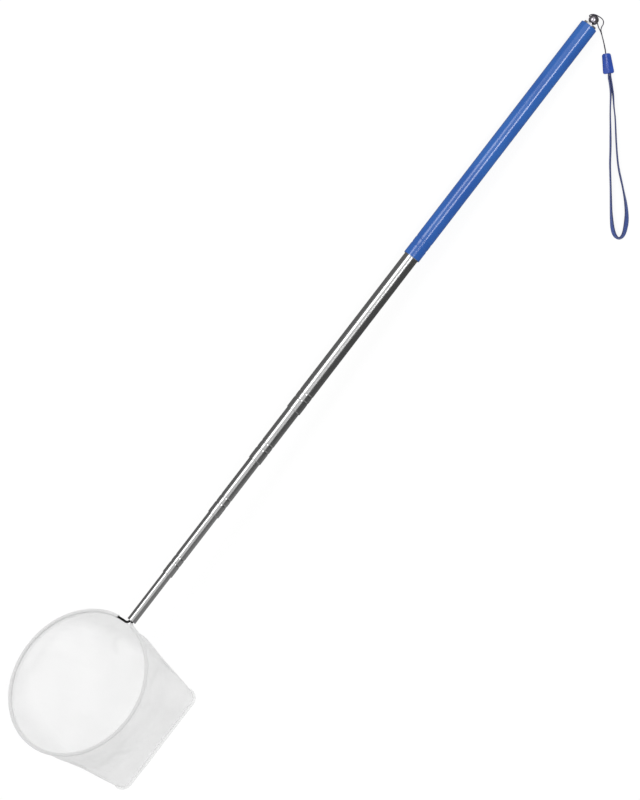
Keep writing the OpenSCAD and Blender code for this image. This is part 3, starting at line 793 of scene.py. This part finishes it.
def press_folds(mesh, middle):
    """Raises soft folds in the low layer of the bag, and in the wall that hangs from the high side of the rim, and
    stores the painted shade of each fold.
    """
    turns = [item.value for item in mesh.attributes["turn"].data]
    normals = [vert.normal.copy() for vert in mesh.vertices]
    shade_in_folds = mesh.attributes.new("shade_in_folds", "FLOAT", "POINT").data
    for folds, low in ((LOW_FOLDS, True), (HIGH_FOLDS, False)):
        for high, wide, thick, points in folds:
            line = smooth_line([(x, y, 0) for x, y in points], 14)
            for vert, turn, normal, fold_shade_value in zip(mesh.vertices, turns, normals, shade_in_folds):
                if (math.sin(2 * math.pi * turn) > 0) != low:
                    continue
                spot = (vert.co - middle) / MM
                spot.z = 0
                near, index = min(((point - spot).length, i) for i, point in enumerate(line))
                if near >= wide:
                    continue
                out = normal if normal.dot(spot) > 0 else -normal
                push = Vector((0, 0, 1)) if low else out
                ends = math.sin(math.pi * index / (len(line) - 1)) ** 0.5
                share = ends * (0.5 + 0.5 * math.cos(math.pi * near / wide))
                vert.co += push * high * MM * share
                fold_shade_value.value = max(fold_shade_value.value, thick * share)


STEP = 0.0022
DROP = 9.81 * STEP**2
ROUNDS = 10
KEPT = 0.96
FRICTION = 0.8
LAYER = 0.0005
SEAM_HEIGHT = 0.0007
BAG_DEPTH = 0.128
# Its threads: rows down and points along to the next point, and how well they resist stretch and squeeze
THREADS = (
    (0, 1, 1.0, 0.2), (1, 0, 1.0, 0.2), (1, 1, 0.1, 0.05), (1, -1, 0.1, 0.05), (0, 2, 0.0, 0.3), (2, 0, 0.0, 0.3),
)


def bag_start(t, v):
    """A point of the bag before its fall: t around from the pole's line, low side first, v down to the seam."""
    scene = bpy.context.scene
    hoop, bag = scene.net_hoop, scene.net_bag
    middle = hoop_frame() @ Vector((0, hoop.offset, 0))
    rim = hoop_frame() @ Vector((hoop.radius * math.cos(t), hoop.offset + hoop.radius * math.sin(t), 0))
    inward = middle - rim
    inward.z = 0
    inward.normalize()
    flat_share = max(0.0, math.sin(t)) ** 2
    leave = Vector((0, 0, -1)).lerp(inward, flat_share).normalized()
    top = rim + leave * (hoop.hem / 2 - 0.0003)
    tuck = bag.seam * 0.6
    half = bag.width / 2 - tuck
    inner_corner = bag.corner - tuck
    x = half * math.cos(t)
    past = abs(x) - (half - inner_corner)
    cut = inner_corner - math.sqrt(max(0.0, inner_corner**2 - past**2)) if past > 0 else 0.0
    place = scene.net_pole.place
    low = Vector((x + bag.lean + place[0], -(bag.reach - tuck) + cut + place[1], SEAM_HEIGHT))
    out = v**1.5
    up = (1 - v) ** 1.7
    return Vector((top.x + (low.x - top.x) * out, top.y + (low.y - top.y) * out, low.z + (top.z - low.z) * up))


def spans(gaps):
    """Length of each row, summed in one order, so that every run and machine gives the same."""
    return np.sqrt(gaps[:, :1] ** 2 + gaps[:, 1:2] ** 2 + gaps[:, 2:] ** 2)


class NET_OT_bag(Operator):
    """Bag of fine mesh that falls as cloth between the rim and its bottom seam"""

    bl_idname = "net.bag"
    bl_label = "Bag"

    def execute(self, context):
        bag = context.scene.net_bag
        bm, uv, turn, run = mapped_bmesh()
        ring = bmesh.ops.create_circle(bm, segments=bag.around, radius=1.0)["verts"]
        for i, vert in enumerate(ring):
            vert[turn] = i / bag.around
        edges = list(bm.edges)
        for j in range(1, bag.down + 1):
            edges, row = grow(bm, edges)
            for vert in row:
                vert[run] = j / bag.down
        mouth_length = 2 * math.pi * context.scene.net_hoop.radius
        for face in bm.faces:
            wraps = max(l.vert[turn] for l in face.loops) - min(l.vert[turn] for l in face.loops) > 0.5
            for loop in face.loops:
                t = loop.vert[turn] + (1.0 if wraps and loop.vert[turn] < 0.5 else 0.0)
                v = loop.vert[run]
                wide = mouth_length * (1 - v) + 2 * bag.width * v
                loop[uv].uv = ((t - 0.5) * wide, v * BAG_DEPTH)
        for vert in bm.verts:
            vert.co = bag_start(2 * math.pi * vert[turn], vert[run])
        bm.verts.index_update()
        held = [
            v.index for v in bm.verts
            if v[run] in (0, 1) or abs(v[turn] - 0.5) < 0.001 or (v[turn] == 0 and v[run] > 0.35)
        ]
        piece = shown(bm, "mesh_bag", mesh_material(bag), "head", "net_bag")
        self.fall(piece, held, bag)
        press_folds(piece.data, Vector((*context.scene.net_pole.place, 0)))
        surface = piece.modifiers.new("smooth", "SUBSURF")
        surface.levels = surface.render_levels = 1
        return {"FINISHED"}

    def fall(self, piece, held, bag):
        """Lets the cloth fall on the floor, as threads that keep their length: the same drape each run."""
        mesh = piece.data
        turns = np.array([item.value for item in mesh.attributes["turn"].data])
        runs = np.array([item.value for item in mesh.attributes["run"].data])
        number = np.empty((bag.down + 1, bag.around), dtype=int)
        rows = np.rint(runs * bag.down).astype(int)
        number[rows, np.rint(turns * bag.around).astype(int) % bag.around] = range(len(runs))
        spots = np.array([vert.co[:] for vert in mesh.vertices])
        free = np.ones((len(spots), 1))
        free[held] = 0
        upper = np.where(turns > 0.5, np.minimum(1, (1 - runs) * 8), 0)
        floor = (LAYER * (1 + upper))[:, None]
        links = self.links(number, spots, bag)
        last = spots.copy()
        for _ in range(bag.steps):
            speed = (spots - last) * KEPT
            last = spots.copy()
            spots += (speed - np.array((0, 0, DROP))) * free
            for _ in range(ROUNDS):
                for first, second, rest, tight, loose in links:
                    gap = spots[second] - spots[first]
                    far = spans(gap)
                    share = np.where(far > rest, tight, loose) / np.maximum(free[first] + free[second], 1)
                    pull = gap * (1 - rest / np.maximum(far, 1e-7)) * share
                    spots[first] += pull * free[first]
                    spots[second] -= pull * free[second]
                low = (spots[:, 2:] < floor) * free
                spots[:, 2:] += (floor - spots[:, 2:]) * low
            last += (spots - last) * low * FRICTION
        for vert, spot in zip(mesh.vertices, spots):
            vert.co = spot

    def links(self, number, spots, bag):
        """Pairs of points that hold each other, in groups without a shared point."""
        row, column = np.indices(number.shape)
        made = []
        for down, along, tight, loose in THREADS:
            for part in (0, 1):
                turn = row // down if down else column // along
                chosen = (row + down <= bag.down) & (turn % 2 == part)
                first = number[chosen]
                second = number[row[chosen] + down, (column[chosen] + along) % bag.around]
                gap = spots[second] - spots[first]
                made.append((first, second, spans(gap), tight, loose))
        return made


class NET_OT_bottom_edge(Operator):
    """Doubled and stitched bottom seam of the bag"""

    bl_idname = "net.bottom_edge"
    bl_label = "Bottom seam"

    def execute(self, context):
        scene = context.scene
        bag = scene.net_bag
        half = bag.width / 2 - bag.seam / 2
        corner = bag.corner - bag.seam / 2
        edge = -(bag.reach - bag.seam / 2)
        line = []
        for side, order in ((-1, 1), (1, -1)):
            arc = []
            for i in range(13):
                a = math.radians(90) * i / 12
                x = side * (half - corner + corner * math.cos(a))
                arc.append((x, edge + corner - corner * math.sin(a)))
            line += arc[::order] if side < 0 else arc[::-1]
        flat = [Vector((x + bag.lean + scene.net_pole.place[0], y + scene.net_pole.place[1], 0)) for x, y in line]
        middle = len(flat) // 2
        straight = [flat[middle - 1].lerp(flat[middle], i / 40) for i in range(1, 40)]
        flat = flat[:middle] + straight + flat[middle:]
        for i, point in enumerate(flat):
            point.z = 0.0006 + 0.00025 * (1 + noise.noise(Vector((point.x * 60, 2, 7))))
            point.y += 0.0003 * noise.noise(Vector((point.x * 45, 9, 4)))
        dark = [v * 0.92 for v in bag.fold]
        material = woven("seam_cloth", bag.fold, dark, 0.0007, 0.0001, (0.28, 0.56))
        places = stations(flat, (0, 0, 1))
        for i, place in enumerate(places):
            end = min(1.0, (0.5 + min(i, len(places) - 1 - i)) / 7)
            places[i] = place @ Matrix.Scale(0.25 + 0.75 * math.sin(end * math.pi / 2), 4)
        bm = sweep(16, bag.seam / 2, 0.00055, places, 0.6)
        piece = shown(bm, "bottom_edge", material, "head", "bottom_seam")
        bm = bmesh.new()
        gone = 0.0
        for before, after in zip(flat, flat[1:]):
            gone += (after - before).length
            if gone < 0.0021:
                continue
            gone = 0.0
            ahead = (after - before).normalized()
            slant = Matrix.Translation(after + Vector((0, 0, 0.00052)))
            slant = slant @ Matrix.Rotation(math.atan2(ahead.y, ahead.x), 4, "Z")
            for place, lean in ((0.0007, 35), (-0.0007, -35)):
                stitch = bmesh.ops.create_icosphere(bm, subdivisions=1, radius=1.0)["verts"]
                shape = Matrix.Translation((0, place, 0)) @ Matrix.Rotation(math.radians(lean), 4, "Z")
                shape = shape @ Matrix.Diagonal((0.0008, 0.00015, 0.00012, 1.0))
                bmesh.ops.transform(bm, matrix=slant @ shape, verts=stitch)
        row = shown(bm, "seam_stitches", thread_material("seam_thread", 238, 254), "head")
        return {"FINISHED"}


# Stage

WHITE = (1.0, 1.0, 1.0, 1.0)
GLOW_SHARE = 0.86
AXIS_Y = 0.0126


class NET_OT_camera(Operator):
    """Camera that looks straight down on the net"""

    bl_idname = "net.camera"
    bl_label = "Camera"

    def execute(self, context):
        look = context.scene.net_stage
        lens = bpy.data.cameras.new("from_above")
        lens.lens = look.lens
        lens.clip_end = 200
        camera = bpy.data.objects.new("from_above", lens)
        camera.location = (look.centre[0], look.centre[1], look.height)
        camera.rotation_euler = (0, 0, look.turn)
        context.scene.collection.objects.link(camera)
        context.scene.camera = camera
        return {"FINISHED"}


class NET_OT_stage(Operator):
    """White floor, even daylight, two strip lamps and the dark panels that polished metal mirrors"""

    bl_idname = "net.stage"
    bl_label = "Stage"

    def execute(self, context):
        scene = context.scene
        look = scene.net_stage
        scene.view_settings.view_transform = "Standard"
        finish = Finish("white_floor")
        matt = finish.node("ShaderNodeBsdfDiffuse", None, {"Color": (*grey(252), 1.0)})
        glow = finish.node("ShaderNodeEmission", None, {"Color": WHITE, "Strength": 1.0})
        finish.done(finish.node("ShaderNodeMixShader", None, {0: finish.seen() * GLOW_SHARE, 1: matt, 2: glow}))
        bm = bmesh.new()
        bmesh.ops.create_circle(bm, segments=96, radius=40.0, cap_ends=True)
        self.prop(bm, "floor", finish.material)
        scene.world = bpy.data.worlds.new("daylight")
        sky = Finish("sky", scene.world)
        even = sky.node("ShaderNodeBackground", None, {"Color": WHITE, "Strength": look.daylight})
        white = sky.node("ShaderNodeBackground", None, {"Color": WHITE})
        sky.done(sky.node("ShaderNodeMixShader", None, {0: sky.seen(), 1: even, 2: white}), "ShaderNodeOutputWorld")
        self.lamp("strip_left", (-0.06, AXIS_Y + 0.94, 1.29), 1.1, 0.58, look.strip)
        self.lamp("strip_right", (0.69, AXIS_Y - 0.36, 1.53), 0.7, 0.38, look.strip * 1.9)
        self.panels(look)
        return {"FINISHED"}

    def prop(self, bm, name, material):
        put_in_order(bm)
        mesh = bpy.data.meshes.new(name)
        bm.to_mesh(mesh)
        bm.free()
        thing = bpy.data.objects.new(name, mesh)
        bpy.context.scene.collection.objects.link(thing)
        wear(thing, material)
        return thing

    def lamp(self, name, place, long, wide, radiance):
        light = bpy.data.lights.new(name, "AREA")
        light.shape = "RECTANGLE"
        light.size = long
        light.size_y = wide
        light.energy = radiance * math.pi * long * wide
        thing = bpy.data.objects.new(name, light)
        aim = Vector((0, AXIS_Y - place[1], 0.02 - place[2])).to_track_quat("-Z", "X").to_matrix().to_4x4()
        thing.matrix_world = Matrix.Translation(place) @ aim @ Matrix.Rotation(math.radians(90), 4, "Z")
        thing.visible_camera = False
        bpy.context.scene.collection.objects.link(thing)

    def panels(self, look):
        """A dark trough around the pole: only polished surfaces see it, as they see black studio cards."""
        finish = Finish("dark_card")
        x = finish.node("ShaderNodeSeparateXYZ", None, {0: finish.place()})
        y = Wire(finish, x.socket.node.outputs[1])
        far = finish.mixed(x.fade(-0.16, 0.06), grey(165), look.dark)
        shade = finish.mixed(y.fade(-0.05, 0.05), far, look.dim)
        finish.done(finish.node("ShaderNodeEmission", None, {"Color": shade, "Strength": 1.0}))
        bm = bmesh.new()
        bmesh.ops.create_grid(bm, x_segments=1, y_segments=1, size=1.0)
        size = Matrix.Translation((0, 0, 0.0003)) @ Matrix.Diagonal((1.7, 1.2, 1.0, 1.0))
        bmesh.ops.transform(bm, matrix=size, verts=bm.verts)
        for vert in grow(bm, [e for e in bm.edges if e.is_boundary])[1]:
            vert.co.z = 0.78 if vert.co.y > 0 else 2.3
            vert.co.x *= 1.1
        cards = self.prop(bm, "dark_cards", finish.material)
        cards.visible_camera = False
        cards.visible_diffuse = False
        cards.visible_transmission = False
        cards.visible_volume_scatter = False
        cards.visible_shadow = False


# Add-on

OPERATORS = (
    NET_OT_camera, NET_OT_connector, NET_OT_strap_cord, NET_OT_webbing, NET_OT_tubes, NET_OT_grip,
    NET_OT_ball_end, NET_OT_hoop_wire, NET_OT_hem, NET_OT_bottom_edge, NET_OT_bag, NET_OT_stage,
)
SETTINGS = {
    "net_pole": PoleSettings, "net_hoop": HoopSettings, "net_bag": BagSettings,
    "net_strap": StrapSettings, "net_stage": StageSettings,
}


class NET_PT_pieces(Panel):
    """Lists the pieces of the net"""

    bl_label = "Aquarium net"
    bl_idname = "NET_PT_pieces"
    bl_space_type = "VIEW_3D"
    bl_region_type = "UI"
    bl_category = "Net"

    def draw(self, context):
        for operator in OPERATORS:
            self.layout.operator(operator.bl_idname)
        for name, group in SETTINGS.items():
            box = self.layout.box()
            for field in group.__annotations__:
                box.prop(getattr(context.scene, name), field)


def register():
    for group in SETTINGS.values():
        bpy.utils.register_class(group)
    for name, group in SETTINGS.items():
        setattr(bpy.types.Scene, name, PointerProperty(type=group))
    for operator in OPERATORS:
        bpy.utils.register_class(operator)
    bpy.utils.register_class(NET_PT_pieces)


def unregister():
    bpy.utils.unregister_class(NET_PT_pieces)
    for operator in reversed(OPERATORS):
        bpy.utils.unregister_class(operator)
    for name in SETTINGS:
        delattr(bpy.types.Scene, name)
    for group in reversed(SETTINGS.values()):
        bpy.utils.unregister_class(group)


def main():
    register()
    for operator in OPERATORS:
        step = operator.bl_idname.split(".")[1]
        getattr(bpy.ops.net, step)()
    bpy.context.view_layer.update()


if __name__ == "__main__":
    main()
